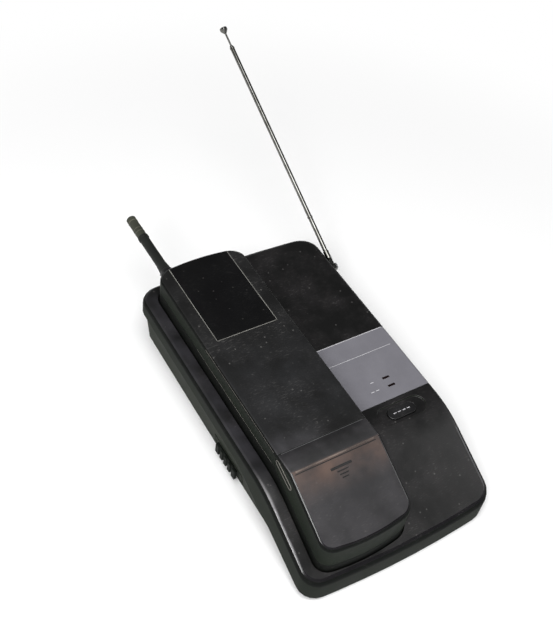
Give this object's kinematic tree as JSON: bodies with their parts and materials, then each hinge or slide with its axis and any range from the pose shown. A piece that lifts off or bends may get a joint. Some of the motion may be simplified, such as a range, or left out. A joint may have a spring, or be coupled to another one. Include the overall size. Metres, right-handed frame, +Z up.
{
  "type": "cordless telephone with charging base",
  "caption": "Cordless phone: bent black base with cradle, page button and telescopic antenna, handset lying face down with sliding battery door, keypad and rubber antenna.",
  "frame": {"origin": "centre of the base's flat underside; the rubber feet stand 1 mm below it", "axes": "+Z up, +Y to the rear of the base where the antennas are, +X to the right of the base"},
  "size_m": [0.1404, 0.3733, 0.1252],
  "materials": {
    "base_case": "satin moulded black plastic",
    "handset_case": "satin moulded black plastic",
    "label": "grey printed label sheet",
    "inlay": "glossy black sheet with a pale outline",
    "lamp_window": "dark red clear plastic",
    "lamp": "red lamp body",
    "button": "satin black plastic",
    "switch": "black switch body",
    "board": "green coated laminate",
    "shield": "tinned sheet",
    "contact": "gold flash",
    "jack": "black jack housing",
    "rubber": "black rubber",
    "rubber_cap": "dark olive rubber",
    "screw": "zinc plated",
    "chrome": "bright chrome",
    "cell": "green shrink sleeve",
    "key": "pale grey plastic",
    "mat": "grey silicone",
    "speaker": "dark metal can",
    "mic": "metal can"
  },
  "bodies": {
    "base": {"base_upper_shell": "base_case", "base_lower_shell": "base_case", "label_band": "label", "lamp_window_phone": "lamp_window", "lamp_window_charge": "lamp_window", "page_switch": "switch", "base_circuit_board": "board", "radio_shield": "shield", "lamps": "lamp", "line_jack": "jack", "power_jack": "jack", "slide_switch": "switch", "rubber_feet": "rubber", "base_screws": "screw", "antenna_pivot_screw": "screw"},
    "handset": {"handset_back_shell": "handset_case", "handset_front_shell": "handset_case", "inlay_panel": "inlay", "battery_cells": "cell", "battery_tray": "handset_case", "handset_circuit_board": "board", "keypad_mat": "mat", "earpiece": "speaker", "microphone": "mic", "buzzer": "switch", "charge_pads": "contact", "handset_screws": "screw", "rubber_antenna": "rubber", "rubber_antenna_cap": "rubber_cap", "antenna_socket": "button"},
    "page_button": {"page_button": "button"},
    "slide_knob": {"slide_knob": "button"},
    "contact_left": {"charge_contact_left": "contact"},
    "contact_right": {"charge_contact_right": "contact"},
    "antenna_outer": {"antenna_tube": "chrome"},
    "antenna_mid": {"antenna_middle": "chrome"},
    "antenna_top": {"antenna_rod": "chrome", "antenna_tip": "chrome"},
    "door": {"battery_door": "handset_case"},
    "key_1": {"key_1": "key"},
    "key_2": {"key_2": "key"},
    "key_3": {"key_3": "key"},
    "key_4": {"key_4": "key"},
    "key_5": {"key_5": "key"},
    "key_6": {"key_6": "key"},
    "key_7": {"key_7": "key"},
    "key_8": {"key_8": "key"},
    "key_9": {"key_9": "key"},
    "key_star": {"key_star": "key"},
    "key_0": {"key_0": "key"},
    "key_hash": {"key_hash": "key"},
    "key_talk": {"key_talk": "key"},
    "key_redial": {"key_redial": "key"},
    "key_flash": {"key_flash": "key"},
    "key_channel": {"key_channel": "key"}
  },
  "joints": [
    {"name": "handset_lift", "type": "slide", "parent": "base", "child": "handset", "axis": [0, 0, 1], "range_m": [0, 0.08]},
    {"name": "battery_door_slide", "type": "slide", "parent": "handset", "child": "door", "axis": [0, -0.9135, -0.4067], "range_m": [0, 0.01]},
    {"name": "page_button_press", "type": "slide", "parent": "base", "child": "page_button", "axis": [0, 0, -1], "range_m": [0, 0.0012], "stiffness_N_per_m": 300, "springref_m": -0.0005},
    {"name": "slide_knob_slide", "type": "slide", "parent": "base", "child": "slide_knob", "axis": [0, 1, 0], "range_m": [-0.004, 0.004]},
    {"name": "contact_left_press", "type": "slide", "parent": "base", "child": "contact_left", "axis": [0, 0.2924, -0.9563], "range_m": [0, 0.001], "stiffness_N_per_m": 250, "springref_m": -0.0005},
    {"name": "contact_right_press", "type": "slide", "parent": "base", "child": "contact_right", "axis": [0, 0.2924, -0.9563], "range_m": [0, 0.001], "stiffness_N_per_m": 250, "springref_m": -0.0005},
    {"name": "antenna_pivot", "type": "hinge", "parent": "base", "child": "antenna_outer", "pos_m": [0.0701, 0.0825, 0.0358], "axis": [1, 0, 0], "range_deg": [-26, 154]},
    {"name": "antenna_middle_slide", "type": "slide", "parent": "antenna_outer", "child": "antenna_mid", "axis": [0, 0.8988, 0.4384], "range_m": [0, 0.15]},
    {"name": "antenna_top_slide", "type": "slide", "parent": "antenna_mid", "child": "antenna_top", "axis": [0, 0.8988, 0.4384], "range_m": [0, 0.15]},
    {"name": "key_1_press", "type": "slide", "parent": "handset", "child": "key_1", "axis": [0, 0, 1], "range_m": [0, 0.001], "stiffness_N_per_m": 250, "springref_m": -0.0005},
    {"name": "key_2_press", "type": "slide", "parent": "handset", "child": "key_2", "axis": [0, 0, 1], "range_m": [0, 0.001], "stiffness_N_per_m": 250, "springref_m": -0.0005},
    {"name": "key_3_press", "type": "slide", "parent": "handset", "child": "key_3", "axis": [0, 0, 1], "range_m": [0, 0.001], "stiffness_N_per_m": 250, "springref_m": -0.0005},
    {"name": "key_4_press", "type": "slide", "parent": "handset", "child": "key_4", "axis": [0, 0, 1], "range_m": [0, 0.001], "stiffness_N_per_m": 250, "springref_m": -0.0005},
    {"name": "key_5_press", "type": "slide", "parent": "handset", "child": "key_5", "axis": [0, 0, 1], "range_m": [0, 0.001], "stiffness_N_per_m": 250, "springref_m": -0.0005},
    {"name": "key_6_press", "type": "slide", "parent": "handset", "child": "key_6", "axis": [0, 0, 1], "range_m": [0, 0.001], "stiffness_N_per_m": 250, "springref_m": -0.0005},
    {"name": "key_7_press", "type": "slide", "parent": "handset", "child": "key_7", "axis": [0, 0, 1], "range_m": [0, 0.001], "stiffness_N_per_m": 250, "springref_m": -0.0005},
    {"name": "key_8_press", "type": "slide", "parent": "handset", "child": "key_8", "axis": [0, 0, 1], "range_m": [0, 0.001], "stiffness_N_per_m": 250, "springref_m": -0.0005},
    {"name": "key_9_press", "type": "slide", "parent": "handset", "child": "key_9", "axis": [0, 0, 1], "range_m": [0, 0.001], "stiffness_N_per_m": 250, "springref_m": -0.0005},
    {"name": "key_star_press", "type": "slide", "parent": "handset", "child": "key_star", "axis": [0, 0, 1], "range_m": [0, 0.001], "stiffness_N_per_m": 250, "springref_m": -0.0005},
    {"name": "key_0_press", "type": "slide", "parent": "handset", "child": "key_0", "axis": [0, 0, 1], "range_m": [0, 0.001], "stiffness_N_per_m": 250, "springref_m": -0.0005},
    {"name": "key_hash_press", "type": "slide", "parent": "handset", "child": "key_hash", "axis": [0, 0, 1], "range_m": [0, 0.001], "stiffness_N_per_m": 250, "springref_m": -0.0005},
    {"name": "key_talk_press", "type": "slide", "parent": "handset", "child": "key_talk", "axis": [0, 0, 1], "range_m": [0, 0.001], "stiffness_N_per_m": 250, "springref_m": -0.0005},
    {"name": "key_redial_press", "type": "slide", "parent": "handset", "child": "key_redial", "axis": [0, 0, 1], "range_m": [0, 0.001], "stiffness_N_per_m": 250, "springref_m": -0.0005},
    {"name": "key_flash_press", "type": "slide", "parent": "handset", "child": "key_flash", "axis": [0, 0, 1], "range_m": [0, 0.001], "stiffness_N_per_m": 250, "springref_m": -0.0005},
    {"name": "key_channel_press", "type": "slide", "parent": "handset", "child": "key_channel", "axis": [0, 0, 1], "range_m": [0, 0.001], "stiffness_N_per_m": 250, "springref_m": -0.0005}
  ]
}
